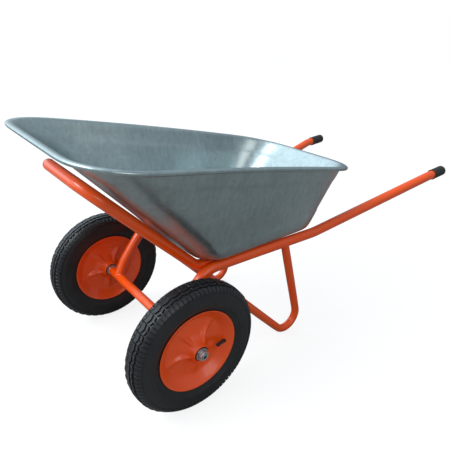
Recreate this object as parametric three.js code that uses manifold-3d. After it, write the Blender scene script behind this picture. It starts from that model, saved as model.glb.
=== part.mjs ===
// A two-wheeled garden wheelbarrow: a pressed sheet tray on two bent rails and a front loop, two tube
// legs, and an axle with two pneumatic wheels. Millimetres, +Z up, nose towards -Y, handles towards +Y.
// Shapes are drawn with the axle at y = 0 and the ground at z = 0. The root group centres them along Y.
import * as THREE from "three";
import { mergeVertices } from "three/addons/utils/BufferGeometryUtils.js";
import Module from "manifold-3d";

const wasm = await Module();
wasm.setup();

const GAP = 0.3;

// Wheels: radii, and distances along the axle from the middle plane of the wheel.
const TYRE_RADIUS = 183;
const TYRE_HALF_WIDTH = 35;
const SECTION_CENTRE = 145;
const SECTION_SQUARING = 0.8;
const SIDEWALL = 6;
const CROWN = 7;
const OUTER_ARC = { reach: 125, points: 11 };
const INNER_ARC = { reach: 122, points: 6 };
const BEAD_CLEARANCE = 1;
const BEAD_TOP_RISE = 1.5;
const BEAD_ROUNDING = { rise: 2.5, first: 1.5, second: 3.5 };
const BEAD_WIDTH = 11.5;
const INNER_TUBE_CLEARANCE = 5;
const INNER_TUBE_WALL = 2;
const INNER_TUBE_ARC = { reach: 150, points: 7 };
const TRACK = 510;
const FLANGE_RADIUS = 113.3;
const FLANGE_AT = 29;
const FLANGE_SHEET = 2.5;
const FLANGE_BEND = 4;
const FLANGE_DRAW = 1;
const FLANGE_LIP = 2;
const SEAT_SHOULDER = 1.5;
const BEAD_SEAT_RADIUS = 100.5;
const RIM_SHEET = 3;
const WELL_BEND = 4;
const DISC_RADIUS = 42;
const CONE_RADIUS = 31;
const CONE_AT = 7;
const HUB_RADIUS = 17.2;
const HUB_HALF_LENGTH = 41;
const HUB_SHOWING = 2;
const BEARING_RADIUS = 14.5;
const BEARING_LENGTH = 11.5;
const BEARING_RECESS = 0.5;
const VALVE_AT = 8;
const VALVE_ROOT = 106;
const VALVE_LENGTH = 36;
const VALVE_RADIUS = 3;
const VALVE_CAP = { radius: 4.2, length: 10 };
const VALVE_TILT = THREE.MathUtils.degToRad(20);
const VALVE_TURN = THREE.MathUtils.degToRad(102);

// Axle: a tube between the wheels and a rod through it, with a washer at each side of each hub.
const AXLE_TUBE_RADIUS = 14;
const ROD_RADIUS = 8;
const ROD_BORE = { radius: 5, depth: 14 };
const ROD_OVERHANG = 3;
const WASHER = { radius: 13, thickness: 2 };
const AXLE_NUT = { flats: 24, thickness: 8 };

// Frame: centre lines of the left half, which the right half mirrors.
const FRAME_RADIUS = 15;
const LEG_RADIUS = 12.5;
const HANDLE_END = new THREE.Vector3(283, 1072, 468);
const HANDLE_BEND = new THREE.Vector3(281, 978, 460);
const REAR_BEND = new THREE.Vector3(211, 480, 354);
const APEX = new THREE.Vector3(168, 100, 331);
const KNEE = new THREE.Vector3(166, 25, 235);
const AXLE_JOINT = new THREE.Vector3(165, 0, TYRE_RADIUS);
const RAIL_BEND_RADII = [90, 260, 90, 150];
const LOOP_TAIL = new THREE.Vector3(143.8, 156, 334.4);
const LOOP_FOOT = new THREE.Vector3(138, 93, 331);
const LOOP_CORNER = new THREE.Vector3(140, -190, 607);
const LOOP_BEND_RADII = [40, 65, 65, 40];
const LEG_TOP_Y = 368;
const FOOT_X = 189;
const FOOT_Y = 413;
const FOOT_RADIUS = 47;
const LEG_REAR_TANGENT = THREE.MathUtils.degToRad(19);
const LEG_FRONT_TANGENT = THREE.MathUtils.degToRad(223.6);
const GRIP_LENGTH = 70;
const GRIP_RADIUS = 17.5;
const GRIP_CAP = 3.5;
const GRIP_END_RADIUS = 12;
const GRIP_ROUNDING = 8;

// Tray: the outer edge of its rolled rim and the edge of its floor are rounded trapezoids.
const SHEET = 1.2;
const RIM = { front: -254, rear: 663, halfFront: 316, halfRear: 234, frontRadius: 132, rearRadius: 148 };
const FLOOR = { front: 98, rear: 507, halfFront: 186, halfRear: 210, frontRadius: 72, rearRadius: 76 };
const RIM_FRONT_Z = 694;
const RIM_REAR_Z = 525;
const RIM_ARCH = 8;
const ROLL_RADIUS = 6;
const FLANGE_WIDTH = 12;
const FLOOR_BEND = 16;
const FLOOR_BEND_TOP = 0.05;
const WALL_LEVELS = [0.38, 0.68];
const RIM_TURN = 0.975;
const FLANGE_TURN = 0.45;
const CORNER_STEPS = 6;
const FRONT_POINTS = 2;
const SIDE_POINTS = 5;
const REAR_POINTS = 2;
const FLOOR_BEND_STEPS = 3;
const FLANGE_STEPS = 2;
const ROLL_DEGREES = { from: 90, to: -135, step: 45 };

// Straps under the tray and the bolts through them.
const STRAP_WIDTH = 40;
const STRAP_THICKNESS = 4;
const STRAP_END_SHARE = 0.75;
const STRAP_YS = { front: 180, rear: 415 };
const BOLT_X = 70;
const BOLT_RADIUS = 3.9;
const BOLT_REACH = 13;
const BOLT_HOLE_LENGTH = 60;
const BOLT_HEAD = { radius: 9, height: 4.6 };
const BOLT_SHOULDER = { width: 0.78, height: 0.65 };
const BOLT_NUT = { flats: 13, thickness: 6.5 };

const TUBE_SIDES = 12;
const TYRE_SIDES = 32;
const RIM_SIDES = 28;
const RING_SIDES = 20;
const BAR_SIDES = 16;
const BOLT_SIDES = 12;
const VALVE_SIDES = 10;
const NUT_HOLE_SIDES = 8;
const LEAST_BEND_STEPS = 3;
const GRIP_END_DEGREES = [0, 45, 90];
const MERGE_DISTANCE = 1e-3;
const BEND_STEP = THREE.MathUtils.degToRad(13);
const FOOT_STEPS = 12;

const LOOKS = {
  paint: { color: "#f4560c", roughness: 0.35, metalness: 0.1 },
  zinc: { color: "#9fb0b4", roughness: 0.4, metalness: 0.8 },
  steel: { color: "#949a9c", roughness: 0.38, metalness: 0.9 },
  rubber: { color: "#1d1e20", roughness: 0.85, metalness: 0 },
  plastic: { color: "#1b1b1c", roughness: 0.7, metalness: 0 },
};

const mirrored = (point, side) => new THREE.Vector3(point.x * side, point.y, point.z);

// ---- Booleans ----

function toSolid(geometry) {
  const bare = geometry.index ? geometry.toNonIndexed() : geometry.clone();
  bare.deleteAttribute("normal");
  bare.deleteAttribute("uv");
  const merged = mergeVertices(bare, MERGE_DISTANCE);
  return new wasm.Manifold(
    new wasm.Mesh({
      numProp: 3,
      vertProperties: merged.attributes.position.array,
      triVerts: new Uint32Array(merged.index.array),
    }),
  );
}

function toGeometry(solid) {
  const { vertProperties, triVerts } = solid.getMesh();
  const geometry = new THREE.BufferGeometry();
  geometry.setAttribute("position", new THREE.BufferAttribute(vertProperties, 3));
  geometry.setIndex(new THREE.BufferAttribute(triVerts, 1));
  geometry.computeVertexNormals();
  return geometry;
}

function cut(geometry, ...tools) {
  let solid = toSolid(geometry);
  for (const tool of tools) {
    solid = solid.subtract(toSolid(tool));
  }
  return toGeometry(solid);
}

// ---- Tubes ----

// A route through its points, with nothing in between, so that long straight runs stay plain.
class Route extends THREE.Curve {
  constructor(points) {
    super();
    this.points = points;
  }

  getPoint(t, target = new THREE.Vector3()) {
    const place = t * (this.points.length - 1);
    const start = Math.min(Math.floor(place), this.points.length - 2);
    return target.lerpVectors(this.points[start], this.points[start + 1], place - start);
  }

  getPointAt(u, target) {
    return this.getPoint(u, target);
  }

  getTangentAt(u, target) {
    return this.getTangent(u, target);
  }
}

// Points on the arc that rounds off a corner between two straight runs.
function roundedCorner(before, corner, after, radius, steps) {
  const back = before.clone().sub(corner).normalize();
  const ahead = after.clone().sub(corner).normalize();
  const turn = Math.PI - back.angleTo(ahead);
  const middle = back.clone().add(ahead).normalize();
  const centre = corner.clone().addScaledVector(middle, radius / Math.cos(turn / 2));
  const across = ahead.clone().sub(back).normalize();
  const count = steps ?? Math.max(LEAST_BEND_STEPS, Math.ceil(turn / BEND_STEP));
  return Array.from({ length: count + 1 }, (_, k) => {
    const angle = turn * (k / count - 0.5);
    return centre
      .clone()
      .addScaledVector(middle, -radius * Math.cos(angle))
      .addScaledVector(across, radius * Math.sin(angle));
  });
}

function bentRoute(corners, radii) {
  const points = [corners[0]];
  for (let i = 1; i < corners.length - 1; i++) {
    points.push(...roundedCorner(corners[i - 1], corners[i], corners[i + 1], radii[i - 1]));
  }
  points.push(corners.at(-1));
  return new Route(points);
}

function tube(route, radius) {
  const section = new THREE.Shape().absarc(0, 0, radius, 0, 2 * Math.PI);
  return new THREE.ExtrudeGeometry(section, {
    steps: route.points.length - 1,
    curveSegments: TUBE_SIDES / 2,
    extrudePath: route,
  });
}

// ---- Turned pieces, along X ----

function turned(profile, segments) {
  const points = profile.map(([radius, along]) => new THREE.Vector2(radius, along));
  return new THREE.LatheGeometry(points, segments).rotateZ(-Math.PI / 2);
}

function turnedRing(profile, segments) {
  return turned([...profile, profile[0]], segments);
}

function plainRing(inner, outer, from, to, segments = RING_SIDES) {
  const section = [[inner, from], [outer, from], [outer, to], [inner, to]];
  return turnedRing(section, segments);
}

function hexNut({ flats, thickness }, hole) {
  const radius = flats / Math.sqrt(3);
  const corners = Array.from({ length: 6 }, (_, k) => {
    const angle = (k * Math.PI) / 3;
    return new THREE.Vector2(radius * Math.cos(angle), radius * Math.sin(angle));
  });
  const outline = new THREE.Shape(corners);
  outline.holes.push(new THREE.Path().absarc(0, 0, hole, 0, 2 * Math.PI, true));
  return new THREE.ExtrudeGeometry(outline, { depth: thickness, bevelEnabled: false, curveSegments: NUT_HOLE_SIDES });
}

// ---- Frame ----

// A handle rail runs from its grip, under the tray, and turns down at the apex to the axle tube.
function railRoute(side) {
  const line = [HANDLE_END, HANDLE_BEND, REAR_BEND, APEX, KNEE, AXLE_JOINT];
  const corners = line.map((point) => mirrored(point, side));
  const along = corners[1].clone().sub(corners[0]).normalize();
  corners[0].addScaledVector(along, GRIP_CAP + GAP);
  return bentRoute(corners, RAIL_BEND_RADII);
}

const railTube = (side, extra = 0) => tube(railRoute(side), FRAME_RADIUS + extra);
const rail = (side) => cut(railTube(side), axleTubeBlank());

// The front loop stands in front of the tray, with its tails bent back along the inner sides of the rails.
function frontLoop() {
  const left = [LOOP_TAIL, LOOP_FOOT, LOOP_CORNER];
  const right = left.map((point) => mirrored(point, -1)).reverse();
  const route = bentRoute([...left, ...right], LOOP_BEND_RADII);
  return cut(tube(route, FRAME_RADIUS), railTube(1, GAP), railTube(-1, GAP));
}

// The centre of a rail at a place along its run under the tray.
function railAt(y, side = 1) {
  return mirrored(APEX.clone().lerp(REAR_BEND, (y - APEX.y) / (REAR_BEND.y - APEX.y)), side);
}

// A leg drops from its rail, turns round the foot and climbs forward to the apex of the frame.
function legRoute(side) {
  const centre = new THREE.Vector3(FOOT_X, FOOT_Y, FOOT_RADIUS + LEG_RADIUS);
  const foot = Array.from({ length: FOOT_STEPS + 1 }, (_, k) => {
    const turn = k / FOOT_STEPS;
    const angle = THREE.MathUtils.lerp(LEG_REAR_TANGENT, LEG_FRONT_TANGENT - 2 * Math.PI, turn);
    const offset = new THREE.Vector3(0, Math.cos(angle), Math.sin(angle));
    return centre.clone().addScaledVector(offset, FOOT_RADIUS);
  });
  const frontEnd = APEX.clone().setZ(APEX.z - FRAME_RADIUS);
  const points = [railAt(LEG_TOP_Y), ...foot, frontEnd];
  return new Route(points.map((point) => mirrored(point, side)));
}

function leg(side) {
  return cut(tube(legRoute(side), LEG_RADIUS), railTube(side, GAP));
}

// A bar round the whole axle, which takes its room out of the rails' front ends.
function axleTubeBlank() {
  const reach = TRACK / 2;
  const radius = AXLE_TUBE_RADIUS + GAP;
  const profile = [[0, -reach], [radius, -reach], [radius, reach], [0, reach]];
  return turned(profile, BAR_SIDES).translate(0, 0, TYRE_RADIUS);
}

function axleTube() {
  const reach = TRACK / 2 - HUB_HALF_LENGTH - WASHER.thickness - 2 * GAP;
  return plainRing(ROD_RADIUS + GAP, AXLE_TUBE_RADIUS, -reach, reach, BAR_SIDES);
}

// The rod through both wheels, with a blind hole in each end.
function axleRod() {
  const reach = TRACK / 2 + HUB_HALF_LENGTH + WASHER.thickness + AXLE_NUT.thickness + ROD_OVERHANG;
  const bottom = reach - ROD_BORE.depth;
  const half = [[0, bottom], [ROD_BORE.radius, bottom], [ROD_BORE.radius, reach], [ROD_RADIUS, reach]];
  const otherHalf = half.map(([radius, along]) => [radius, -along]).reverse();
  return turned([...half, ...otherHalf].reverse(), BAR_SIDES);
}

// ---- Tray ----

// Points around a rounded trapezoid, anticlockwise seen from above, moved inwards by inset.
// Each corner has its radius and the number of points on the straight edge that leads up to it.
function trayOutline(shape, inset = 0) {
  const front = shape.front + inset;
  const rear = shape.rear - inset;
  const corners = [
    { at: [0, front], radius: 0, straight: 0 },
    { at: [shape.halfFront - inset, front], radius: shape.frontRadius - inset, straight: FRONT_POINTS },
    { at: [shape.halfRear - inset, rear], radius: shape.rearRadius - inset, straight: SIDE_POINTS },
    { at: [0, rear], radius: 0, straight: REAR_POINTS },
  ].map((corner) => ({ ...corner, at: new THREE.Vector3(...corner.at, 0) }));
  const half = [corners[0].at];
  for (let k = 1; k < 3; k++) {
    const [before, corner, after] = corners.slice(k - 1, k + 2);
    const rounded = roundedCorner(before.at, corner.at, after.at, corner.radius, CORNER_STEPS);
    half.push(...between(half.at(-1), rounded[0], corner.straight), ...rounded);
  }
  half.push(...between(half.at(-1), corners[3].at, corners[3].straight), corners[3].at);
  return [...half, ...half.slice(1, -1).reverse().map((point) => mirrored(point, -1))];
}

function between(start, end, count) {
  return Array.from({ length: count }, (_, k) => start.clone().lerp(end, (k + 1) / (count + 1)));
}

const floorSlope = (REAR_BEND.z - APEX.z) / (REAR_BEND.y - APEX.y);
const floorAngle = Math.atan(floorSlope);

// The upper face of the tray's floor, which lies on the rails.
function floorZ(y) {
  return APEX.z + (y - APEX.y) * floorSlope + (FRAME_RADIUS + GAP + SHEET) / Math.cos(floorAngle);
}

function rimZ(y) {
  const t = (y - RIM.front) / (RIM.rear - RIM.front);
  return THREE.MathUtils.lerp(RIM_FRONT_Z, RIM_REAR_Z, t) + RIM_ARCH * 4 * t * (1 - t);
}

const onFloor = (inset) => trayOutline(FLOOR, inset).map((p) => p.setZ(floorZ(p.y)));
const onRim = (inset, lift) => trayOutline(RIM, inset).map((p) => p.setZ(rimZ(p.y) + lift));

// A ring of points on the quadratic curve from one ring to another, pulled towards a third.
function curved(from, pull, to, t) {
  return from.map((start, i) => {
    const first = start.clone().lerp(pull[i], t);
    const second = pull[i].clone().lerp(to[i], t);
    return first.lerp(second, t);
  });
}

// Rings up the inner face: floor, bend, wall, flange and then round the rolled edge.
function trayRings() {
  const edge = onFloor(0);
  const wallTop = onRim(ROLL_RADIUS + FLANGE_WIDTH, ROLL_RADIUS);
  const wallAt = (t) => edge.map((point, i) => point.clone().lerp(wallTop[i], t));
  const bendEnd = wallAt(FLOOR_BEND_TOP);
  const flangeStart = onRim(ROLL_RADIUS + FLANGE_WIDTH * FLANGE_TURN, ROLL_RADIUS);
  const steps = (count) => Array.from({ length: count + 1 }, (_, k) => k / count);
  const rings = steps(FLOOR_BEND_STEPS).map((t) => curved(onFloor(FLOOR_BEND), edge, bendEnd, t));
  rings.push(...WALL_LEVELS.map(wallAt));
  rings.push(...steps(FLANGE_STEPS).map((t) => curved(wallAt(RIM_TURN), wallTop, flangeStart, t)));
  for (let degrees = ROLL_DEGREES.from; degrees >= ROLL_DEGREES.to; degrees -= ROLL_DEGREES.step) {
    const angle = THREE.MathUtils.degToRad(degrees);
    rings.push(onRim(ROLL_RADIUS * (1 - Math.cos(angle)), ROLL_RADIUS * Math.sin(angle)));
  }
  return rings;
}

// Each ring moved out through the thickness of the sheet.
function throughSheet(rings) {
  const count = rings[0].length;
  return rings.map((ring, j) =>
    ring.map((point, i) => {
      const around = ring[(i + 1) % count].clone().sub(ring[(i + count - 1) % count]);
      const above = rings[Math.min(j + 1, rings.length - 1)][i];
      const below = rings[Math.max(j - 1, 0)][i];
      const normal = around.cross(above.clone().sub(below)).normalize();
      if (j === 0) normal.set(0, Math.sin(floorAngle), -Math.cos(floorAngle));
      return point.clone().addScaledVector(normal, SHEET);
    }),
  );
}

function tray() {
  const inside = trayRings();
  const outside = throughSheet(inside);
  const count = inside[0].length;
  const levels = inside.length;
  const middle = (ring) => ring.reduce((sum, p) => sum.add(p), new THREE.Vector3()).divideScalar(count);
  const vertices = [...outside.flat(), ...inside.flat(), middle(outside[0]), middle(inside[0])];
  const outer = (j, i) => j * count + (i % count);
  const inner = (j, i) => (levels + j) * count + (i % count);
  const faces = [];
  const quad = (a, b, c, d) => faces.push(a, b, c, a, c, d);
  for (let i = 0; i < count; i++) {
    for (let j = 0; j < levels - 1; j++) {
      quad(outer(j, i), outer(j, i + 1), outer(j + 1, i + 1), outer(j + 1, i));
      quad(inner(j, i), inner(j + 1, i), inner(j + 1, i + 1), inner(j, i + 1));
    }
    quad(outer(levels - 1, i), outer(levels - 1, i + 1), inner(levels - 1, i + 1), inner(levels - 1, i));
    faces.push(vertices.length - 2, outer(0, i + 1), outer(0, i));
    faces.push(vertices.length - 1, inner(0, i), inner(0, i + 1));
  }
  const geometry = new THREE.BufferGeometry().setFromPoints(vertices);
  geometry.setIndex(faces);
  return cut(geometry, ...boltPlaces().map(({ x, y }) => boltHole(x, y)));
}

// ---- Straps and bolts ----

function boltPlaces() {
  return Object.entries(STRAP_YS).flatMap(([row, y]) => [
    { name: `${row}_left`, x: BOLT_X, y },
    { name: `${row}_right`, x: -BOLT_X, y },
  ]);
}

function boltHole(x, y) {
  const radius = BOLT_RADIUS + GAP;
  return new THREE.CylinderGeometry(radius, radius, BOLT_HOLE_LENGTH, BOLT_SIDES)
    .rotateX(Math.PI / 2 + floorAngle)
    .translate(x, y, floorZ(y));
}

// A flat strap between the rails, just under the tray.
function strap(y) {
  const railSide = FRAME_RADIUS * STRAP_END_SHARE;
  const length = 2 * (railAt(y - STRAP_WIDTH / 2).x - railSide);
  const down = SHEET + GAP + STRAP_THICKNESS / 2;
  const bar = new THREE.BoxGeometry(length, STRAP_WIDTH, STRAP_THICKNESS)
    .translate(0, 0, -down)
    .rotateX(floorAngle)
    .translate(0, y, floorZ(y));
  return cut(bar, ...[BOLT_X, -BOLT_X].map((x) => boltHole(x, y)));
}

// A round-headed bolt whose head rests on the tray's floor, drawn along X with the floor at 0.
function trayBolt() {
  const length = SHEET + STRAP_THICKNESS + BOLT_REACH;
  const { radius, height } = BOLT_HEAD;
  const head = [[radius, GAP], [radius * BOLT_SHOULDER.width, height * BOLT_SHOULDER.height], [0, height]];
  return turned([[0, -length], [BOLT_RADIUS, -length], [BOLT_RADIUS, GAP], ...head], BOLT_SIDES);
}

// ---- Wheel, along X with its middle plane at 0 ----

// Points round a tyre's section, a little squarer than an ellipse, as far as reach degrees each way.
function sectionArc(halfWidth, height, { reach, points }) {
  const squared = (value) => Math.sign(value) * Math.abs(value) ** SECTION_SQUARING;
  return Array.from({ length: points }, (_, k) => {
    const degrees = THREE.MathUtils.lerp(-reach, reach, k / (points - 1));
    const angle = THREE.MathUtils.degToRad(degrees);
    return [SECTION_CENTRE + height * squared(Math.cos(angle)), halfWidth * squared(Math.sin(angle))];
  });
}

function tyre() {
  const height = TYRE_RADIUS - SECTION_CENTRE;
  const outer = sectionArc(TYRE_HALF_WIDTH, height, OUTER_ARC);
  const inner = sectionArc(TYRE_HALF_WIDTH - SIDEWALL, height - CROWN, INNER_ARC).reverse();
  const foot = BEAD_SEAT_RADIUS + BEAD_CLEARANCE;
  const beadOutside = FLANGE_AT - FLANGE_SHEET - BEAD_CLEARANCE;
  const bead = [
    [FLANGE_RADIUS + BEAD_TOP_RISE, beadOutside],
    [foot + BEAD_ROUNDING.rise, beadOutside - BEAD_ROUNDING.first],
    [foot, beadOutside - BEAD_ROUNDING.second],
    [foot, beadOutside - BEAD_WIDTH],
  ];
  const otherBead = bead.map(([radius, along]) => [radius, -along]).reverse();
  return turnedRing([...outer, ...bead, ...inner, ...otherBead], TYRE_SIDES);
}

// The inner tube is left open along its inner side, towards the rim.
function innerTube() {
  const halfWidth = TYRE_HALF_WIDTH - SIDEWALL - INNER_TUBE_CLEARANCE;
  const height = TYRE_RADIUS - SECTION_CENTRE - CROWN - INNER_TUBE_CLEARANCE;
  const outer = sectionArc(halfWidth, height, INNER_TUBE_ARC);
  const wall = INNER_TUBE_WALL;
  const inner = sectionArc(halfWidth - wall, height - wall, INNER_TUBE_ARC).reverse();
  return turnedRing([...outer, ...inner], RING_SIDES);
}

// One pressed half of the rim: flange, bead seat, disc and the cone round the hub.
function rimHalf() {
  const seat = BEAD_SEAT_RADIUS;
  const well = seat - RIM_SHEET;
  const neck = HUB_RADIUS + GAP;
  const neckEnd = HUB_HALF_LENGTH - HUB_SHOWING;
  const discFront = GAP + RIM_SHEET;
  const flangeBack = FLANGE_AT - FLANGE_SHEET;
  const profile = [
    [FLANGE_RADIUS, flangeBack],
    [seat + FLANGE_BEND, flangeBack - FLANGE_DRAW],
    [seat, flangeBack - FLANGE_BEND],
    [seat, GAP],
    [DISC_RADIUS, GAP],
    [CONE_RADIUS, CONE_AT],
    [neck, neckEnd],
    [neck + RIM_SHEET, neckEnd],
    [CONE_RADIUS + RIM_SHEET, CONE_AT + RIM_SHEET],
    [DISC_RADIUS + RIM_SHEET, discFront],
    [well - WELL_BEND, discFront],
    [well, discFront + WELL_BEND],
    [well, flangeBack - FLANGE_BEND],
    [seat + SEAT_SHOULDER, FLANGE_AT - FLANGE_DRAW],
    [FLANGE_RADIUS - FLANGE_LIP, FLANGE_AT],
    [FLANGE_RADIUS, FLANGE_AT - FLANGE_DRAW],
  ];
  return turnedRing(profile.reverse(), RIM_SIDES);
}

// A round bar along the valve's line, between two distances from its root towards the axle.
function onValveLine(radius, from, to, side) {
  return new THREE.CylinderGeometry(radius, radius, to - from, VALVE_SIDES)
    .rotateX(Math.PI / 2)
    .translate(0, 0, -(from + to) / 2)
    .rotateY(-VALVE_TILT)
    .translate(VALVE_AT, 0, VALVE_ROOT)
    .rotateX(-side * VALVE_TURN);
}

function wheelParts(side) {
  const end = HUB_HALF_LENGTH - BEARING_RECESS;
  const bearing = plainRing(ROD_RADIUS + GAP, BEARING_RADIUS, end - BEARING_LENGTH, end);
  const hub = plainRing(BEARING_RADIUS + GAP, HUB_RADIUS, -HUB_HALF_LENGTH, HUB_HALF_LENGTH);
  const valveHole = onValveLine(VALVE_RADIUS + GAP, 0, VALVE_LENGTH / 2, side);
  const capEnd = VALVE_LENGTH + VALVE_CAP.length;
  const cap = onValveLine(VALVE_CAP.radius, VALVE_LENGTH + GAP, capEnd, side);
  return [
    { name: "tyre", shape: tyre(), look: LOOKS.rubber },
    { name: "inner_tube", shape: innerTube(), look: LOOKS.rubber },
    { name: "rim_outer", shape: cut(rimHalf(), valveHole), look: LOOKS.paint },
    { name: "rim_inner", shape: rimHalf(), look: LOOKS.paint, turned: true },
    { name: "hub", shape: hub, look: LOOKS.steel },
    { name: "bearing_outer", shape: bearing, look: LOOKS.steel },
    { name: "bearing_inner", shape: bearing, look: LOOKS.steel, turned: true },
    { name: "valve", shape: onValveLine(VALVE_RADIUS, 0, VALVE_LENGTH, side), look: LOOKS.plastic },
    { name: "valve_cap", shape: cap, look: LOOKS.plastic },
  ];
}

// ---- Assembly ----

const root = new THREE.Group();
root.position.y = -(RIM.front + HANDLE_END.y) / 2;

function place(parent, name, geometry, look) {
  const mesh = new THREE.Mesh(geometry, new THREE.MeshStandardMaterial(look));
  mesh.name = name;
  parent.add(mesh);
  return mesh;
}

function addFrame() {
  place(root, "front_loop", frontLoop(), LOOKS.paint);
  place(root, "axle_tube", axleTube(), LOOKS.paint).position.z = TYRE_RADIUS;
  place(root, "axle_rod", axleRod(), LOOKS.steel).position.z = TYRE_RADIUS;
  for (const [name, side] of [["left", 1], ["right", -1]]) {
    place(root, `${name}_leg`, leg(side), LOOKS.paint);
    place(root, `${name}_rail`, rail(side), LOOKS.paint);
    addGrip(name, side);
  }
}

// A cup over the end of the rail, with a rounded closed end.
function gripCup() {
  const bore = FRAME_RADIUS + GAP;
  const bottom = GRIP_LENGTH - GRIP_CAP;
  const rounding = GRIP_END_DEGREES.map((degrees) => {
    const angle = THREE.MathUtils.degToRad(degrees);
    const radius = GRIP_END_RADIUS + (GRIP_RADIUS - GRIP_END_RADIUS) * Math.sin(angle);
    return [radius, GRIP_LENGTH - GRIP_ROUNDING * (1 - Math.cos(angle))];
  });
  const profile = [[0, GRIP_LENGTH], ...rounding, [GRIP_RADIUS, 0], [bore, 0], [bore, bottom], [0, bottom]];
  return turned(profile.reverse(), BAR_SIDES);
}

function addGrip(name, side) {
  const tip = mirrored(HANDLE_END, side);
  const along = tip.clone().sub(mirrored(HANDLE_BEND, side)).normalize();
  const grip = place(root, `${name}_grip`, gripCup(), LOOKS.plastic);
  grip.position.copy(tip).addScaledVector(along, -GRIP_LENGTH);
  grip.quaternion.setFromUnitVectors(new THREE.Vector3(1, 0, 0), along);
}

function addTray() {
  place(root, "tray", tray(), LOOKS.zinc);
  for (const [row, y] of Object.entries(STRAP_YS)) {
    place(root, `${row}_strap`, strap(y), LOOKS.paint);
  }
  for (const { name, x, y } of boltPlaces()) {
    const group = new THREE.Group();
    group.position.set(x, y, floorZ(y));
    group.rotation.x = floorAngle;
    root.add(group);
    place(group, `bolt_${name}`, trayBolt(), LOOKS.steel).rotation.y = -Math.PI / 2;
    const nut = place(group, `nut_${name}`, hexNut(BOLT_NUT, BOLT_RADIUS + GAP), LOOKS.steel);
    nut.position.z = -(SHEET + STRAP_THICKNESS + 2 * GAP + BOLT_NUT.thickness);
  }
}

// The right wheel is the left one turned round, with its valve mirrored.
function addWheel(name, side) {
  const wheel = new THREE.Group();
  wheel.position.set((side * TRACK) / 2, 0, TYRE_RADIUS);
  wheel.rotation.z = side > 0 ? 0 : Math.PI;
  root.add(wheel);
  for (const { name: part, shape, look, turned: other } of wheelParts(side)) {
    const mesh = place(wheel, `${name}_${part}`, shape, look);
    if (other) mesh.rotation.z = Math.PI;
  }
  const face = HUB_HALF_LENGTH + GAP;
  const washer = plainRing(ROD_RADIUS + GAP, WASHER.radius, face, face + WASHER.thickness);
  place(wheel, `${name}_washer_outer`, washer, LOOKS.steel);
  place(wheel, `${name}_washer_inner`, washer, LOOKS.steel).rotation.z = Math.PI;
  const nut = hexNut(AXLE_NUT, ROD_RADIUS + GAP).rotateY(Math.PI / 2);
  place(wheel, `${name}_axle_nut`, nut, LOOKS.steel).position.x = face + WASHER.thickness + GAP;
}

addFrame();
addTray();
addWheel("left", 1);
addWheel("right", -1);

export default root;
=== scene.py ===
"""A two-wheeled garden wheelbarrow: galvanised tray, powder-coated tube frame, pneumatic wheels."""
import math

import bpy
from mathutils import Matrix, Vector


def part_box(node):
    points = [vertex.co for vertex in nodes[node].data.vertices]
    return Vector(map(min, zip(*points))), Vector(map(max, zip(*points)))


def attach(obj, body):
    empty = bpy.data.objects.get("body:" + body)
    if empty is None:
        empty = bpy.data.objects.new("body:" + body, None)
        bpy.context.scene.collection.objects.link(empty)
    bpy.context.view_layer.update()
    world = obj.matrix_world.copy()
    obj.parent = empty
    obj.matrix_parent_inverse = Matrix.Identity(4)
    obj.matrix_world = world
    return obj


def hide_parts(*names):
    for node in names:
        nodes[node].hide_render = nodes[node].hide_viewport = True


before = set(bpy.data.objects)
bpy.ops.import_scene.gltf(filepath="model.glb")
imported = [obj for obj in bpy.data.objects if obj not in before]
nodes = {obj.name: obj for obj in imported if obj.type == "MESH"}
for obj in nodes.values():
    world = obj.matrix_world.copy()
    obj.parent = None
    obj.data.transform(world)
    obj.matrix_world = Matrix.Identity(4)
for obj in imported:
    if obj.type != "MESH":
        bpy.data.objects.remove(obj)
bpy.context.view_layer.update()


# ---- Frame tubes ----
# The rails, the front loop and the legs are cold-bent steel tube, welded together and powder-coated
# after welding, so that one smooth coat runs over tubes and welds alike.

def linear(hex_colour):
    """An sRGB hex colour as linear red, green, blue and alpha."""
    channels = [int(hex_colour[i:i + 2], 16) / 255 for i in (1, 3, 5)]
    return [c / 12.92 if c <= 0.04045 else ((c + 0.055) / 1.055) ** 2.4 for c in channels] + [1.0]


def add(tree, kind, inputs=None, **settings):
    """Adds a node with its settings. Each input is a value or another node's output."""
    made = tree.nodes.new(kind)
    for name, value in settings.items():
        setattr(made, name, value)
    for socket, value in (inputs or {}).items():
        if isinstance(value, bpy.types.NodeSocket):
            tree.links.new(value, made.inputs[socket])
        else:
            made.inputs[socket].default_value = value
    return made


def new_material(name, **sockets):
    """A material with values on its shader's own sockets, and its tree, shader and object coordinates."""
    material = bpy.data.materials.new(name)
    material.use_nodes = True
    tree = material.node_tree
    shader = tree.nodes["Principled BSDF"]
    for socket, value in sockets.items():
        shader.inputs[socket.replace("_", " ")].default_value = value
    place = add(tree, "ShaderNodeTexCoord").outputs["Object"]
    return material, tree, shader, place


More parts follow.
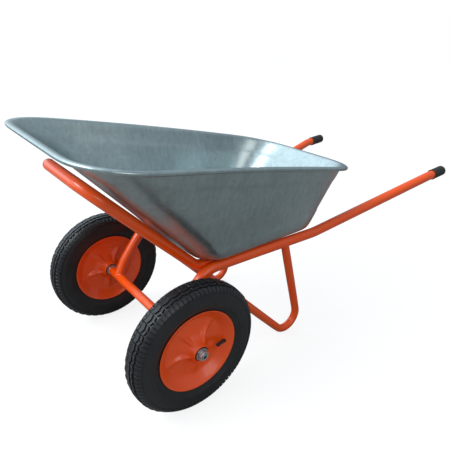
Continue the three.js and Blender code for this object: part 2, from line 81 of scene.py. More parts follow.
def powder_coat():
    """Polyester powder coat, baked on: a deep glossy orange with a fine orange-peel surface."""
    material, tree, shader, place = new_material("powder_coat", Metallic=0.0, Coat_Weight=0.35,
                                                 Coat_Roughness=0.14)
    patches = add(tree, "ShaderNodeTexNoise", {"Vector": place, "Scale": 9.0, "Detail": 3.0})
    tint = add(tree, "ShaderNodeValToRGB", {"Fac": patches.outputs["Fac"]})
    tint.color_ramp.elements[0].color = linear("#f64f02")
    tint.color_ramp.elements[1].color = linear("#ff5a05")
    peel = add(tree, "ShaderNodeTexNoise", {"Vector": place, "Scale": 420.0, "Detail": 1.0})
    gloss = add(tree, "ShaderNodeMapRange", {"Value": patches.outputs["Fac"], "To Min": 0.26, "To Max": 0.38})
    bump = add(tree, "ShaderNodeBump", {"Height": peel.outputs["Fac"], "Strength": 0.12, "Distance": 0.0006})
    tree.links.new(tint.outputs["Color"], shader.inputs["Base Color"])
    tree.links.new(gloss.outputs["Result"], shader.inputs["Roughness"])
    tree.links.new(bump.outputs["Normal"], shader.inputs["Normal"])
    return material


def select_only(*pieces):
    bpy.ops.object.select_all(action="DESELECT")
    for piece in pieces:
        piece.select_set(True)
    bpy.context.view_layer.objects.active = pieces[0]


def apply_modifier(piece, kind, **settings):
    """Puts a modifier on a piece and applies it."""
    select_only(piece)
    modifier = piece.modifiers.new(kind.lower(), kind)
    for name, value in settings.items():
        setattr(modifier, name, value)
    bpy.ops.object.modifier_apply(modifier=modifier.name)


def smoothed(piece, levels=2):
    if levels:
        apply_modifier(piece, "SUBSURF", levels=levels, render_levels=levels)
    select_only(piece)
    bpy.ops.object.shade_smooth_by_angle(angle=math.radians(38))
    return piece


def merged_copy(node, name):
    """A CAD node's mesh in an object of its own, with its doubles merged and its triangles paired."""
    piece = bpy.data.objects.new(name, nodes[node].data.copy())
    piece.data.materials.clear()
    bpy.context.scene.collection.objects.link(piece)
    select_only(piece)
    bpy.ops.object.mode_set(mode="EDIT")
    bpy.ops.mesh.select_all(action="SELECT")
    bpy.ops.mesh.customdata_custom_splitnormals_clear()
    bpy.ops.mesh.remove_doubles(threshold=0.00002)
    bpy.ops.mesh.tris_convert_to_quads(face_threshold=math.radians(20), shape_threshold=math.radians(60))
    bpy.ops.object.mode_set(mode="OBJECT")
    return piece


def creased(piece, sharp=40):
    """Keeps the edges of cut ends and faces sharp when the piece is smoothed."""
    select_only(piece)
    bpy.ops.object.mode_set(mode="EDIT")
    bpy.ops.mesh.select_mode(type="EDGE")
    bpy.ops.mesh.select_all(action="DESELECT")
    bpy.ops.mesh.edges_select_sharp(sharpness=math.radians(sharp))
    bpy.ops.transform.edge_crease(value=0.85)
    bpy.ops.object.mode_set(mode="OBJECT")
    return piece


def finish_piece(piece, material, slot, body, *stands_for):
    """Gives a piece its material, its body and the nodes it stands for; the slot is not used."""
    piece.data.materials.clear()
    piece.data.materials.append(material)
    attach(piece, body)
    if stands_for:
        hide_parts(*stands_for)
    return piece


orange = powder_coat()
TWELVE_SIDED_SHRINK = 0.045
TUBE_RADII = {"front_loop": 0.015, "left_rail": 0.015, "right_rail": 0.015,
              "left_leg": 0.0125, "right_leg": 0.0125}

for node, radius in TUBE_RADII.items():
    tube = merged_copy(node, f"{node}_tube")
    bpy.ops.object.mode_set(mode="EDIT")
    bpy.ops.mesh.select_all(action="SELECT")
    bpy.ops.transform.shrink_fatten(value=radius * TWELVE_SIDED_SHRINK)
    bpy.ops.object.mode_set(mode="OBJECT")
    creased(tube)
    smoothed(tube)
    finish_piece(tube, orange, "orange_paint", "frame", node)

axle_cover = smoothed(creased(merged_copy("axle_tube", "axle_cross_tube")))
finish_piece(axle_cover, orange, "orange_paint", "frame", "axle_tube")


# ---- Welds ----
# Each joint of the frame has a fillet of weld metal, laid in short overlapping steps and coated with the
# frame. A ring that follows the curve of the bigger tube makes it, and a long bead joins loop and rail.

RAIL_FRONT = Vector((0.168, -0.309, 0.331))
RAIL_REAR = Vector((0.211, 0.071, 0.354))
RAIL_RADIUS = 0.015
axle_low, axle_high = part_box("axle_tube")
AXLE_CENTRE = (axle_low + axle_high) / 2
AXLE_TUBE_RADIUS = (axle_high.z - axle_low.z) / 2
STEPS = 22
RING_THICKNESS = 0.0026
RING_RIPPLE = 0.12
BEAD_RIPPLE = 0.07
BEAD_END_POWER = 0.3
SADDLE_LIMIT = 0.97
LEG_RADIUS = 0.0125
LEG_ON_RAIL = 0.705
LEG_DOWN = Vector((-0.007, 0.045, -0.274))
RAIL_UP = Vector((0.001, 0.025, 0.052))
RAIL_ON_AXLE = 0.165
BEAD_FRONT = Vector((0.1535, -0.298, 0.3315))
BEAD_BACK = Vector((0.1587, -0.256, 0.3343))
BEAD_LIFTS = {"top": 0.0105, "low": -0.0105}


def settle(piece, matrix):
    """Moves a finished mesh to its place, with its object left at the origin."""
    piece.data.transform(matrix)
    piece.data.update()
    return piece


def facing(origin, up, along):
    """A place whose Z axis points up and whose X axis lies near along."""
    z = up.normalized()
    y = z.cross(along).normalized()
    turn = Matrix((y.cross(z), y, z)).transposed()
    return Matrix.Translation(origin) @ turn.to_4x4()


def weld_ring(name, place, tube_radius, on_radius):
    """A rippled ring round a tube that stands on a bigger tube along X, whose middle is the origin."""
    bpy.ops.object.select_all(action="DESELECT")
    bpy.ops.mesh.primitive_torus_add(major_radius=tube_radius, minor_radius=RING_THICKNESS,
                                     major_segments=STEPS * 4, minor_segments=10)
    piece = bpy.context.object
    piece.name = name
    for vertex in piece.data.vertices:
        ripple = 1 + RING_RIPPLE * math.cos(STEPS * math.atan2(vertex.co.y, vertex.co.x))
        spread = math.hypot(vertex.co.x, vertex.co.y) - tube_radius
        grow = (tube_radius + spread * ripple) / (tube_radius + spread)
        vertex.co.x *= grow
        vertex.co.y *= grow
        across = min(abs(vertex.co.y), on_radius * SADDLE_LIMIT)
        vertex.co.z = vertex.co.z * ripple + math.sqrt(on_radius ** 2 - across ** 2)
    smoothed(piece, 1)
    return finish_piece(settle(piece, place), orange, "orange_paint", "frame")


def weld_bead(name, start, end, radius=0.0042, steps=16):
    """A straight rippled bead between two points."""
    bpy.ops.object.select_all(action="DESELECT")
    length = (end - start).length
    bpy.ops.mesh.primitive_uv_sphere_add(segments=16, ring_count=steps * 4, radius=1)
    piece = bpy.context.object
    piece.name = name
    for vertex in piece.data.vertices:
        ripple = 1 + BEAD_RIPPLE * math.cos(steps * math.pi * vertex.co.z)
        round_end = (1 - vertex.co.z ** 2) ** 0.5
        slim = 0 if round_end < 1e-6 else radius * ripple * round_end ** BEAD_END_POWER / round_end
        vertex.co = (vertex.co.x * slim, vertex.co.y * slim, vertex.co.z * length / 2)
    smoothed(piece, 0)
    settle(piece, facing((start + end) / 2, end - start, Vector((1, 0, 0))))
    return finish_piece(piece, orange, "orange_paint", "frame")


for side, sign in (("left", 1), ("right", -1)):
    mirror = Vector((sign, 1, 1))
    rail_run = (RAIL_REAR - RAIL_FRONT) * mirror
    leg_top = RAIL_FRONT.lerp(RAIL_REAR, LEG_ON_RAIL) * mirror
    weld_ring(f"{side}_leg_weld", facing(leg_top, LEG_DOWN * mirror, rail_run), LEG_RADIUS, RAIL_RADIUS)
    joint = Vector((RAIL_ON_AXLE * sign, AXLE_CENTRE.y, AXLE_CENTRE.z))
    upright = facing(joint, RAIL_UP * mirror, Vector((1, 0, 0)))
    weld_ring(f"{side}_axle_weld", upright, RAIL_RADIUS, AXLE_TUBE_RADIUS)
    for place_name, height in BEAD_LIFTS.items():
        lift = Vector((0, 0, height))
        weld_bead(f"{side}_loop_bead_{place_name}", BEAD_FRONT * mirror + lift, BEAD_BACK * mirror + lift)


# ---- Tray ----
# One blank of thin galvanised sheet, deep-drawn to shape. Its edge is rolled outwards, and a shallow
# panel with soft edges is pressed into its walls to stiffen them.

def galvanised_sheet():
    """Hot-dip galvanised steel: a satin blue-grey metal, with faint crystals of zinc and drawing streaks."""
    material, tree, shader, place = new_material("galvanised_sheet", Metallic=0.93)
    crystals = add(tree, "ShaderNodeTexVoronoi", {"Vector": place, "Scale": 105.0, "Randomness": 1.0})
    cloud = add(tree, "ShaderNodeTexNoise", {"Vector": place, "Scale": 6.0, "Detail": 5.0})
    stretched = add(tree, "ShaderNodeMapping", {"Vector": place, "Scale": (14.0, 14.0, 1.6)})
    streaks = add(tree, "ShaderNodeTexNoise", {"Vector": stretched.outputs["Vector"], "Scale": 7.0,
                                               "Detail": 4.0})
    grey = add(tree, "ShaderNodeRGBToBW", {"Color": crystals.outputs["Color"]})
    both = add(tree, "ShaderNodeMix", {0: 0.45, 2: cloud.outputs["Fac"], 3: streaks.outputs["Fac"]})
    mixed = add(tree, "ShaderNodeMix", {0: 0.16, 2: both.outputs[0], 3: grey.outputs["Val"]})
    tint = add(tree, "ShaderNodeValToRGB", {"Fac": mixed.outputs[0]})
    tint.color_ramp.elements[0].position = 0.3
    tint.color_ramp.elements[0].color = linear("#9aa7a9")
    tint.color_ramp.elements[1].position = 0.7
    tint.color_ramp.elements[1].color = linear("#b9c6c8")
    rough = add(tree, "ShaderNodeMapRange", {"Value": mixed.outputs[0], "From Min": 0.3, "From Max": 0.7,
                                             "To Min": 0.27, "To Max": 0.38})
    bump = add(tree, "ShaderNodeBump", {"Height": both.outputs[0], "Strength": 0.05, "Distance": 0.003})
    tree.links.new(tint.outputs["Color"], shader.inputs["Base Color"])
    tree.links.new(rough.outputs["Result"], shader.inputs["Roughness"])
    tree.links.new(bump.outputs["Normal"], shader.inputs["Normal"])
    return material


zinc = galvanised_sheet()
tray_low, tray_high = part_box("tray")
FLOOR_AT = Vector((0, -0.309, 0.3475))
FLOOR_NORMAL = Vector((0, -0.0604, 0.9982))
PANEL_DEPTH = 0.0026
PANEL_BELOW_RIM = 0.036
PANEL_ABOVE_FLOOR = 0.050
PANEL_EDGE = 0.007

rim_front = Vector((0, -0.663, 0.694))
rim_rear = Vector((0, 0.254, 0.525))
rim_run = (rim_rear - rim_front).normalized()
RIM_NORMAL = Vector((0, -rim_run.z, rim_run.y))

tray = merged_copy("tray", "tray_sheet")
bpy.ops.object.mode_set(mode="EDIT")
cuts = [(rim_front - RIM_NORMAL * (PANEL_BELOW_RIM + k * PANEL_EDGE), RIM_NORMAL) for k in (0, 1)]
cuts += [(FLOOR_AT + FLOOR_NORMAL * (PANEL_ABOVE_FLOOR + k * PANEL_EDGE), FLOOR_NORMAL) for k in (0, -1)]
for point, normal in cuts:
    bpy.ops.mesh.select_all(action="SELECT")
    bpy.ops.mesh.bisect(plane_co=point, plane_no=normal)
bpy.ops.object.mode_set(mode="OBJECT")
middle = (tray_low + tray_high) / 2
for vertex in tray.data.vertices:
    below_rim = (rim_front - vertex.co).dot(RIM_NORMAL)
    above_floor = (vertex.co - FLOOR_AT).dot(FLOOR_NORMAL)
    if below_rim > PANEL_BELOW_RIM + PANEL_EDGE * 0.5 and above_floor > PANEL_ABOVE_FLOOR - PANEL_EDGE * 0.5:
        inwards = Vector((middle.x - vertex.co.x, middle.y - vertex.co.y, 0)).normalized()
        vertex.co += inwards * PANEL_DEPTH
creased(tray, 62)
smoothed(tray)
finish_piece(tray, zinc, "zinc_sheet", "frame", "tray")


# ---- Straps, bolts and small steel parts ----
# Two flat orange straps under the tray, four round-headed bolts through tray and strap, and the rod, nuts
# and washers of the axle. They are zinc-plated steel, turned or cold-formed, with a small edge radius.

def plated_steel():
    """Zinc-plated steel: bright, slightly blue and finely scratched."""
    material, tree, shader, place = new_material("plated_steel", Metallic=1.0)
    scratches = add(tree, "ShaderNodeTexNoise", {"Vector": place, "Scale": 350.0, "Detail": 4.0})
    tint = add(tree, "ShaderNodeValToRGB", {"Fac": scratches.outputs["Fac"]})
    tint.color_ramp.elements[0].color = linear("#b0b4b6")
    tint.color_ramp.elements[1].color = linear("#e0e3e4")
    rough = add(tree, "ShaderNodeMapRange", {"Value": scratches.outputs["Fac"],
                                             "To Min": 0.22, "To Max": 0.42})
    bump = add(tree, "ShaderNodeBump", {"Height": scratches.outputs["Fac"], "Strength": 0.15,
                                         "Distance": 0.0004})
    tree.links.new(tint.outputs["Color"], shader.inputs["Base Color"])
    tree.links.new(rough.outputs["Result"], shader.inputs["Roughness"])
    tree.links.new(bump.outputs["Normal"], shader.inputs["Normal"])
    return material


steel = plated_steel()


def edged_copy(node, name, edge, levels=1):
    """A copy of a CAD node with rounded edges."""
    piece = merged_copy(node, name)
    apply_modifier(piece, "BEVEL", width=edge, segments=2, limit_method="ANGLE", angle_limit=math.radians(40))
    return smoothed(piece, levels)


for row in ("front", "rear"):
    bar = edged_copy(f"{row}_strap", f"{row}_tray_strap", 0.0008, 0)
    finish_piece(bar, orange, "orange_paint", "frame", f"{row}_strap")
    for side in ("left", "right"):
        for kind in ("bolt", "nut"):
            node = f"{kind}_{row}_{side}"
            part = edged_copy(node, f"{row}_{side}_tray_{kind}", 0.0004)
            finish_piece(part, steel, "plain_steel", "frame", node)

rod = edged_copy("axle_rod", "axle_shaft", 0.0005)
finish_piece(rod, steel, "plain_steel", "frame", "axle_rod")


# ---- Grips ----
# Short caps of black plastic, injection-moulded and pushed over the ends of the rails. Each has a
# rounded end and a few shallow ribs round its open end.

def moulded_plastic():
    """Low-density polyethylene: black, matt, with a fine eroded texture from the mould."""
    material, tree, shader, place = new_material("moulded_plastic", Metallic=0.0, IOR=1.5)
    texture = add(tree, "ShaderNodeTexNoise", {"Vector": place, "Scale": 700.0, "Detail": 2.0})
    tint = add(tree, "ShaderNodeValToRGB", {"Fac": texture.outputs["Fac"]})
    tint.color_ramp.elements[0].color = linear("#1b1a18")
    tint.color_ramp.elements[1].color = linear("#2d2b28")
    rough = add(tree, "ShaderNodeMapRange", {"Value": texture.outputs["Fac"], "To Min": 0.45, "To Max": 0.62})
    bump = add(tree, "ShaderNodeBump", {"Height": texture.outputs["Fac"], "Strength": 0.2,
                                         "Distance": 0.0004})
    tree.links.new(tint.outputs["Color"], shader.inputs["Base Color"])
    tree.links.new(rough.outputs["Result"], shader.inputs["Roughness"])
    tree.links.new(bump.outputs["Normal"], shader.inputs["Normal"])
    return material


def turned_piece(name, outline, steps=48, levels=1):
    """A closed outline of (along, radius) in metres, spun about the X axis at the origin."""
    bpy.ops.object.select_all(action="DESELECT")
    bpy.ops.mesh.primitive_circle_add(vertices=len(outline), radius=0.01, fill_type="NOTHING")
    piece = bpy.context.object
    piece.name = name
    for vertex, (along, radius) in zip(piece.data.vertices, outline):
        vertex.co = (along, 0, radius)
    bpy.ops.object.mode_set(mode="EDIT")
    bpy.ops.mesh.select_all(action="SELECT")
    bpy.ops.mesh.spin(steps=steps, angle=2 * math.pi, center=(0, 0, 0), axis=(1, 0, 0))
    bpy.ops.mesh.select_all(action="SELECT")
    bpy.ops.mesh.remove_doubles(threshold=0.00003)
    bpy.ops.mesh.normals_make_consistent(inside=False)
    bpy.ops.object.mode_set(mode="OBJECT")
    return smoothed(piece, levels) if levels else piece


plastic = moulded_plastic()
GRIP_RADIUS = 0.0175
GRIP_BORE = 0.0153
GRIP_LENGTH = 0.070
RIBS = 6
RIB_PITCH = 0.0062
RIBS_START = 0.012
RIB_DEPTH = 0.0009
COLLAR = 0.0006
GRIP_ROUNDING = 0.010
GRIP_CAP = 0.0035
GRIP_LEAN = Vector((0.002, 0.094, 0.008))

grip_outline = [(0, GRIP_BORE), (0.0005, GRIP_RADIUS + COLLAR), (0.003, GRIP_RADIUS + COLLAR),
                (0.004, GRIP_RADIUS)]
for k in range(RIBS):
    start = RIBS_START + k * RIB_PITCH
    grip_outline += [(start, GRIP_RADIUS), (start + 0.001, GRIP_RADIUS - RIB_DEPTH),
                     (start + 0.002, GRIP_RADIUS - RIB_DEPTH), (start + 0.003, GRIP_RADIUS)]
for degrees in range(0, 91, 15):
    turn = math.radians(degrees)
    grip_outline.append((GRIP_LENGTH - GRIP_ROUNDING * (1 - math.sin(turn)),
                         GRIP_RADIUS - GRIP_ROUNDING * (1 - math.cos(turn))))
grip_outline += [(GRIP_LENGTH, 0), (GRIP_LENGTH - GRIP_CAP, 0), (GRIP_LENGTH - GRIP_CAP, GRIP_BORE)]

for side, sign in (("left", 1), ("right", -1)):
    low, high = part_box(f"{side}_grip")
    lean = (GRIP_LEAN * Vector((sign, 1, 1))).normalized()
    open_end = (low + high) / 2 - lean * GRIP_LENGTH / 2
    grip = turned_piece(f"{side}_handle_grip", grip_outline)
    settle(grip, Matrix.Translation(open_end) @ lean.to_track_quat("X", "Z").to_matrix().to_4x4())
    finish_piece(grip, plastic, "black_plastic", "frame", f"{side}_grip")


# ---- Tyres ----
# Black pneumatic tyres on 8 inch rims. The casing is smooth with a raised ring above the bead, and
# the tread has three zigzag rows of blocks and a row of short bars on each shoulder.

def tyre_rubber():
    """Vulcanised rubber: nearly black and matt, with a dry grey bloom and a soft sheen."""
    material, tree, shader, place = new_material("tyre_rubber", Metallic=0.0, IOR=1.52)
    bloom = add(tree, "ShaderNodeTexNoise", {"Vector": place, "Scale": 28.0, "Detail": 5.0})
    grain = add(tree, "ShaderNodeTexNoise", {"Vector": place, "Scale": 600.0, "Detail": 2.0})
    tint = add(tree, "ShaderNodeValToRGB", {"Fac": bloom.outputs["Fac"]})
    tint.color_ramp.elements[0].position = 0.35
    tint.color_ramp.elements[0].color = linear("#151517")
    tint.color_ramp.elements[1].position = 0.75
    tint.color_ramp.elements[1].color = linear("#202124")
    rough = add(tree, "ShaderNodeMapRange", {"Value": bloom.outputs["Fac"], "To Min": 0.30, "To Max": 0.46})
    bump = add(tree, "ShaderNodeBump", {"Height": grain.outputs["Fac"], "Strength": 0.22, "Distance": 0.0005})
    tree.links.new(tint.outputs["Color"], shader.inputs["Base Color"])
    tree.links.new(rough.outputs["Result"], shader.inputs["Roughness"])
    tree.links.new(bump.outputs["Normal"], shader.inputs["Normal"])
    return material


rubber = tyre_rubber()
tyre_low, tyre_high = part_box("left_tyre")
TYRE_RADIUS = (tyre_high.z - tyre_low.z) / 2
WHEEL_CENTRE = (tyre_low + tyre_high) / 2
SECTION_CENTRE = 0.145
CASING_HALF_WIDTH = 0.0345
LUG_HEIGHT = 0.0034
CASING_HEIGHT = TYRE_RADIUS - LUG_HEIGHT - SECTION_CENTRE
BLOCKS = 44
HALF_PITCH = math.pi * TYRE_RADIUS / BLOCKS
GROOVE = 0.0026
SWAY = 0.0034
HAIRS = 9
SQUARING = 0.82
BEAD_RING_HEIGHT = 0.0009
SIDE_ROW_AT = 0.0132
MIDDLE_HALF_WIDTH = 0.0060
SIDE_HALF_WIDTH = 0.0040
BLOCK_ROOT = 0.003
BLOCK_DROP = 0.0004
BAR_DROP = 0.0006
BAR_ROOT = 0.002
BAR_STAGGER = 0.018
HAIR_AT = (CASING_HALF_WIDTH - 0.0012, 0, 0.151)
HAIR_STAGGER = 0.35


def casing_point(degrees, proud=0.0):
    """A point of the casing's section, from the crown at 0 towards the bead."""
    turn = math.radians(degrees)
    side, up = math.sin(turn), math.cos(turn)
    return ((CASING_HALF_WIDTH + proud) * math.copysign(abs(side) ** SQUARING, side),
            SECTION_CENTRE + (CASING_HEIGHT + proud) * math.copysign(abs(up) ** SQUARING, up))


outside = [casing_point(degrees, BEAD_RING_HEIGHT if abs(degrees) in (104, 108) else 0)
           for degrees in (0, 12, 24, 36, 48, 60, 72, 84, 96, 101, 104, 108, 111, 118, 126)]
bead = [(0.0270, 0.1162), (0.0240, 0.1112), (0.0200, 0.1070), (0.0150, 0.1032), (0.0128, 0.1036),
        (0.0150, 0.1120), (0.0235, 0.1280), (0.0285, 0.1450), (0.0240, 0.1630)]
half = outside + bead
casing_outline = half + [(0.0, 0.1725)] + [(-along, radius) for along, radius in reversed(half[1:])]


def slab(name, outline, thickness, edge):
    """A flat outline of points, pulled out by its thickness both ways and given rounded edges."""
    bpy.ops.object.select_all(action="DESELECT")
    bpy.ops.mesh.primitive_circle_add(vertices=len(outline), radius=0.01, fill_type="NGON")
    piece = bpy.context.object
    piece.name = name
    for vertex, point in zip(piece.data.vertices, outline):
        vertex.co = point
    bpy.ops.object.mode_set(mode="EDIT")
    bpy.ops.mesh.select_all(action="SELECT")
    bpy.ops.mesh.extrude_region_move(TRANSFORM_OT_translate={"value": thickness})
    bpy.ops.mesh.select_all(action="SELECT")
    bpy.ops.mesh.normals_make_consistent(inside=False)
    bpy.ops.object.mode_set(mode="OBJECT")
    apply_modifier(piece, "BEVEL", width=edge, segments=1, limit_method="ANGLE", angle_limit=math.radians(35))
    return piece


def round_the_wheel(piece, count, offset=0.0):
    """Repeats a piece round the wheel's axis, into one mesh."""
    select_only(piece)
    turn = bpy.data.objects.new("turn", None)
    bpy.context.scene.collection.objects.link(turn)
    turn.rotation_euler = (2 * math.pi / count, 0, 0)
    bpy.context.view_layer.update()
    apply_modifier(piece, "ARRAY", count=count, use_relative_offset=False, use_object_offset=True,
                   offset_object=turn)
    bpy.data.objects.remove(turn)
    piece.data.transform(Matrix.Rotation(offset, 4, "X"))
    return piece


def zigzag_block(name, at, half_width, turns):
    """A block of one zigzag row, through its turns, whose places run from -1 to 1 of half a pitch."""
    side = [(SWAY * (0.5 - abs(turn)), turn * HALF_PITCH + gap) for turn, gap in turns]
    corners = [(at - half_width + sway, along) for sway, along in side]
    corners += [(at + half_width + sway, along) for sway, along in reversed(side)]
    shoulder = math.asin(min(1, (abs(at) / CASING_HALF_WIDTH) ** (1 / SQUARING)))
    casing = SECTION_CENTRE + CASING_HEIGHT * math.cos(shoulder) ** SQUARING
    outline = [(across, along, casing - BLOCK_ROOT) for across, along in corners]
    return slab(name, outline, (0, 0, BLOCK_ROOT + LUG_HEIGHT - BLOCK_DROP), 0.0006)


def shoulder_bar(name, sign):
    """A short bar that runs from the edge of the tread down over the shoulder."""
    top = [casing_point(degrees, LUG_HEIGHT - BAR_DROP) for degrees in (31, 39, 47, 55, 61)]
    under = [casing_point(degrees, -BAR_ROOT) for degrees in (66, 52, 40, 29)]
    outline = [(sign * along, GROOVE / 2 - HALF_PITCH / 2, radius) for along, radius in top + under]
    return slab(name, outline, (0, HALF_PITCH - GROOVE, 0), 0.0007)


def make_tyre(name):
    parts = [turned_piece(name, casing_outline, steps=64, levels=1)]
    start, end = (-1, GROOVE / 2), (1, -GROOVE / 2)
    parts.append(round_the_wheel(zigzag_block("row", 0, MIDDLE_HALF_WIDTH, [start, (0, 0), end]), BLOCKS))
    for at in (SIDE_ROW_AT, -SIDE_ROW_AT):
        for turns in ([start, (0, -GROOVE / 2)], [(0, GROOVE / 2), end]):
            parts.append(round_the_wheel(zigzag_block("row", at, SIDE_HALF_WIDTH, turns), BLOCKS))
    for sign in (1, -1):
        parts.append(round_the_wheel(shoulder_bar("shoulder", sign), 2 * BLOCKS, sign * BAR_STAGGER))
    hair_outline = [(0.0, 0.0), (0.0, 0.0003), (0.004, 0.00018), (0.004, 0.0)]
    hair = turned_piece("hair", hair_outline, steps=6, levels=0)
    settle(hair, Matrix.Translation(HAIR_AT))
    parts.append(round_the_wheel(hair, HAIRS, HAIR_STAGGER))
    select_only(*parts)
    bpy.ops.object.join()
    select_only(parts[0])
    bpy.ops.object.shade_smooth_by_angle(angle=math.radians(32))
    return parts[0]


# ---- Rims ----
# Two pressed steel halves back to back, held together by the hub and the tyre. Each has a rolled flange, a
# deep dish, a cone up to the hub, and five ridges pressed out from the cone towards the flange.

RIDGES = 5
RIDGE_HEIGHT = 0.0100
RIDGE_TURN = math.radians(-38)
RIDGE_NARROWING = 4
RIDGE_INNER = {"radius": 0.024, "rise": 0.008}
RIDGE_OUTER = {"radius": 0.092, "rise": 0.046}
RIDGE_FALL = 0.7
rim_front_side = [
    (0.0392, 0.0208), (0.0340, 0.0224), (0.0270, 0.0252), (0.0200, 0.0290), (0.0140, 0.0332), (0.0095, 0.0385),
    (0.0066, 0.0450), (0.0050, 0.0530), (0.0043, 0.0620), (0.0040, 0.0720), (0.0040, 0.0800), (0.0048, 0.0842),
    (0.0076, 0.0878), (0.0136, 0.0944), (0.0190, 0.1002), (0.0230, 0.1042), (0.0262, 0.1082), (0.0282, 0.1112),
]
rim_edge = [(0.0291, 0.1126), (0.0290, 0.1138), (0.0278, 0.1142), (0.0268, 0.1133)]
rim_back_side = [
    (0.0260, 0.1116), (0.0243, 0.1092), (0.0212, 0.1056), (0.0172, 0.1016), (0.0120, 0.0960), (0.0064, 0.0898),
    (0.0034, 0.0856), (0.0021, 0.0800), (0.0020, 0.0720), (0.0022, 0.0620), (0.0029, 0.0526), (0.0045, 0.0438),
    (0.0075, 0.0368), (0.0122, 0.0312), (0.0182, 0.0268), (0.0255, 0.0232), (0.0330, 0.0206), (0.0388, 0.0188),
]


def make_rim(name):
    """The outer half, with its ridges pressed into both faces of the sheet."""
    rim = turned_piece(name, rim_front_side + rim_edge + rim_back_side, steps=100, levels=0)
    for vertex in rim.data.vertices:
        radius = math.hypot(vertex.co.y, vertex.co.z)
        turn = math.atan2(vertex.co.y, vertex.co.z) + RIDGE_TURN
        ridge = max(0.0, math.cos(turn * RIDGES)) ** RIDGE_NARROWING
        inner = min(1.0, max(0.0, (radius - RIDGE_INNER["radius"]) / RIDGE_INNER["rise"]))
        outer = min(1.0, max(0.0, (RIDGE_OUTER["radius"] - radius) / RIDGE_OUTER["rise"]))
        vertex.co.x += RIDGE_HEIGHT * ridge * inner * outer ** RIDGE_FALL
    return smoothed(rim, 1)


# ---- Wheels ----
# Each wheel has a turned hub tube between the rim halves, a bearing in each end, and a rubber valve
# with a black cap. The right wheel is the left one turned round.

def make_valve(name):
    """A rubber-covered stem, drawn along X from the tyre's side."""
    outline = [(0, 0), (0, 0.0074), (0.008, 0.0070), (0.015, 0.0052), (0.026, 0.0044), (0.0335, 0.0042),
               (0.0340, 0)]
    return turned_piece(name, outline, steps=20)


def make_valve_cap(name):
    outline = [(0.0, 0), (0.0, 0.0046), (0.0008, 0.0050), (0.0085, 0.0050), (0.0100, 0.0040), (0.0104, 0)]
    cap = turned_piece(name, outline, steps=24, levels=0)
    for vertex in cap.data.vertices:
        turn = math.atan2(vertex.co.y, vertex.co.z)
        radius = math.hypot(vertex.co.y, vertex.co.z)
        if radius > 0.004:
            vertex.co.y *= 1 + 0.05 * math.cos(turn * 12)
            vertex.co.z *= 1 + 0.05 * math.cos(turn * 12)
    return smoothed(cap, 1)


STEM_BACK = 0.018
CAP_BACK = 0.005

tyre_master = make_tyre("tyre_master")
rim_master = make_rim("rim_master")


def copy_of(master, name, matrix):
    """A copy with its own mesh, moved to its place."""
    piece = bpy.data.objects.new(name, master.data.copy())
    bpy.context.scene.collection.objects.link(piece)
    return settle(piece, matrix)


for side, sign in (("left", 1), ("right", -1)):
    body = f"{side}_wheel"
    centre = Vector((WHEEL_CENTRE.x * sign, WHEEL_CENTRE.y, WHEEL_CENTRE.z))
    half_turn = Matrix.Rotation(math.pi, 4, "Z")
    to_wheel = Matrix.Translation(centre) @ (Matrix.Identity(4) if sign > 0 else half_turn)
    tyre = copy_of(tyre_master, f"{side}_tyre_tread", to_wheel)
    finish_piece(tyre, rubber, "tyre_rubber", body, f"{side}_tyre")
    for half_name, turn in (("outer", Matrix.Identity(4)), ("inner", half_turn)):
        rim = copy_of(rim_master, f"{side}_rim_{half_name}_half", to_wheel @ turn)
        finish_piece(rim, orange, "orange_paint", body, f"{side}_rim_{half_name}")
        bearing = edged_copy(f"{side}_bearing_{half_name}", f"{side}_{half_name}_bearing_ring", 0.0004)
        finish_piece(bearing, steel, "plain_steel", body, f"{side}_bearing_{half_name}")
        washer = edged_copy(f"{side}_washer_{half_name}", f"{side}_{half_name}_washer_disc", 0.0003)
        finish_piece(washer, steel, "plain_steel", "frame", f"{side}_washer_{half_name}")
    hub = edged_copy(f"{side}_hub", f"{side}_hub_tube", 0.0004)
    finish_piece(hub, steel, "plain_steel", body, f"{side}_hub")
    nut = edged_copy(f"{side}_axle_nut", f"{side}_hex_nut", 0.0006, 0)
    finish_piece(nut, steel, "plain_steel", "frame", f"{side}_axle_nut")
    inner = nodes[f"{side}_inner_tube"]
    inner.data.materials.clear()
    inner.data.materials.append(rubber)
    low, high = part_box(f"{side}_valve")
    cap_low, cap_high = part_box(f"{side}_valve_cap")
    towards_cap = ((cap_low + cap_high) / 2 - (low + high) / 2).normalized()
    along_valve = towards_cap.to_track_quat("X", "Z").to_matrix().to_4x4()
    stem = make_valve(f"{side}_valve_stem")
    settle(stem, Matrix.Translation((low + high) / 2 - towards_cap * STEM_BACK) @ along_valve)
    finish_piece(stem, plastic, "black_plastic", body, f"{side}_valve")
    cap = make_valve_cap(f"{side}_valve_dust_cap")
    settle(cap, Matrix.Translation((cap_low + cap_high) / 2 - towards_cap * CAP_BACK) @ along_valve)
    finish_piece(cap, plastic, "black_plastic", body, f"{side}_valve_cap")

bpy.data.objects.remove(tyre_master)
bpy.data.objects.remove(rim_master)


# ---- Studio ----
# A plain pale floor under soft daylight: one large light from the front left, a weaker one from the
# left wheel's side, and a pale surround.

CAMERA_AT = (1.0066, -0.9208, 0.9392)
CAMERA_TURN = math.radians(51.10)
CAMERA_DOWN = math.radians(24.62)
CAMERA_ROLL = math.radians(1.57)
SENSOR_WIDTH = 36
LENS = 35.72

bpy.ops.object.select_all(action="DESELECT")
bpy.ops.object.camera_add(location=CAMERA_AT)
camera = bpy.context.object
aim = Matrix.Rotation(CAMERA_TURN, 4, "Z") @ Matrix.Rotation(math.pi / 2 - CAMERA_DOWN, 4, "X")
camera.rotation_euler = (aim @ Matrix.Rotation(CAMERA_ROLL, 4, "Z")).to_euler()
camera.data.sensor_width = SENSOR_WIDTH
camera.data.lens = LENS
bpy.context.scene.camera = camera


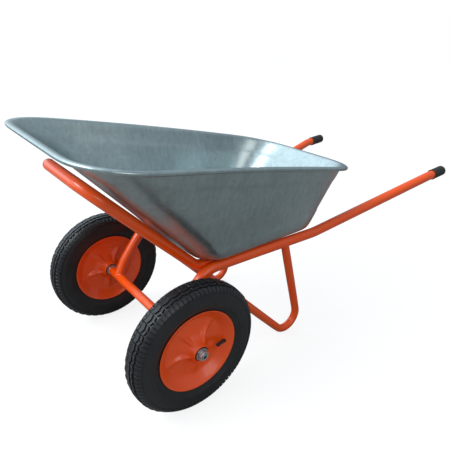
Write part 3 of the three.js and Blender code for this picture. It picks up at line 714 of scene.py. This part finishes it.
def soft_light(name, location, target, size, power, colour):
    bpy.ops.object.light_add(type="AREA", location=location)
    light = bpy.context.object
    light.name = name
    light.data.shape = "DISK"
    light.data.size = size
    light.data.energy = power
    light.data.color = linear(colour)[:3]
    light.rotation_euler = (Vector(target) - Vector(location)).to_track_quat("-Z", "Y").to_euler()


soft_light("window_light", (-0.5, -2.5, 2.7), (0, -0.1, 0.35), 1.7, 52, "#fbfdff")
soft_light("wheel_side_light", (2.9, -0.9, 1.9), (0.2, -0.2, 0.3), 1.8, 14, "#fffaf4")

bpy.ops.mesh.primitive_plane_add(size=24, location=(0, 0, 0))
floor = bpy.context.object
floor.name = "floor"
floor_paint, tree, shader, _ = new_material("floor_paint", Roughness=0.9)
# The floor glows a little to the camera, so that it stays pale, and is a mid grey to the other rays.
shader.inputs["Base Color"].default_value = linear("#8e8d8a")
rays = add(tree, "ShaderNodeLightPath")
pale = add(tree, "ShaderNodeBsdfDiffuse", {"Color": linear("#f2f2f1")})
glow = add(tree, "ShaderNodeEmission", {"Color": linear("#ffffff"), "Strength": 1.1})
seen = add(tree, "ShaderNodeMixShader", {0: 0.76, 1: pale.outputs["BSDF"], 2: glow.outputs["Emission"]})
both = add(tree, "ShaderNodeMixShader", {0: rays.outputs["Is Camera Ray"], 1: shader.outputs["BSDF"],
                                         2: seen.outputs["Shader"]})
tree.links.new(both.outputs["Shader"], tree.nodes["Material Output"].inputs["Surface"])
floor.data.materials.append(floor_paint)

# The surround is a pale blue sky, brightest over the nose, with a darker yard below the horizon.
BRIGHT_WAY = (-0.66, -0.60, 0.45)
world = bpy.data.worlds.new("surround")
bpy.context.scene.world = world
world.use_nodes = True
tree = world.node_tree
way = add(tree, "ShaderNodeTexCoord").outputs["Generated"]
height = add(tree, "ShaderNodeSeparateXYZ", {"Vector": way}).outputs["Z"]
towards = add(tree, "ShaderNodeVectorMath", {0: way, 1: BRIGHT_WAY}, operation="DOT_PRODUCT").outputs["Value"]
sky = add(tree, "ShaderNodeMapRange", {"Value": height, "From Min": -0.1, "From Max": 0.4,
                                       "To Min": 0.2, "To Max": 0.6}, interpolation_type="SMOOTHSTEP")
bright = add(tree, "ShaderNodeMapRange", {"Value": towards, "From Min": 0.25, "From Max": 1.0,
                                          "To Min": 0.0, "To Max": 1.5}, interpolation_type="SMOOTHSTEP")
level = add(tree, "ShaderNodeMath", {0: sky.outputs["Result"], 1: bright.outputs["Result"]})
rays = add(tree, "ShaderNodeLightPath")
dim = add(tree, "ShaderNodeBackground", {"Color": linear("#dfeef7"), "Strength": level.outputs["Value"]})
white = add(tree, "ShaderNodeBackground", {"Color": linear("#ffffff"), "Strength": 1.0})
mixed = add(tree, "ShaderNodeMixShader", {0: rays.outputs["Is Camera Ray"], 1: dim.outputs["Background"],
                                          2: white.outputs["Background"]})
tree.links.new(mixed.outputs["Shader"], tree.nodes["World Output"].inputs["Surface"])
bpy.context.scene.view_settings.view_transform = "Standard"
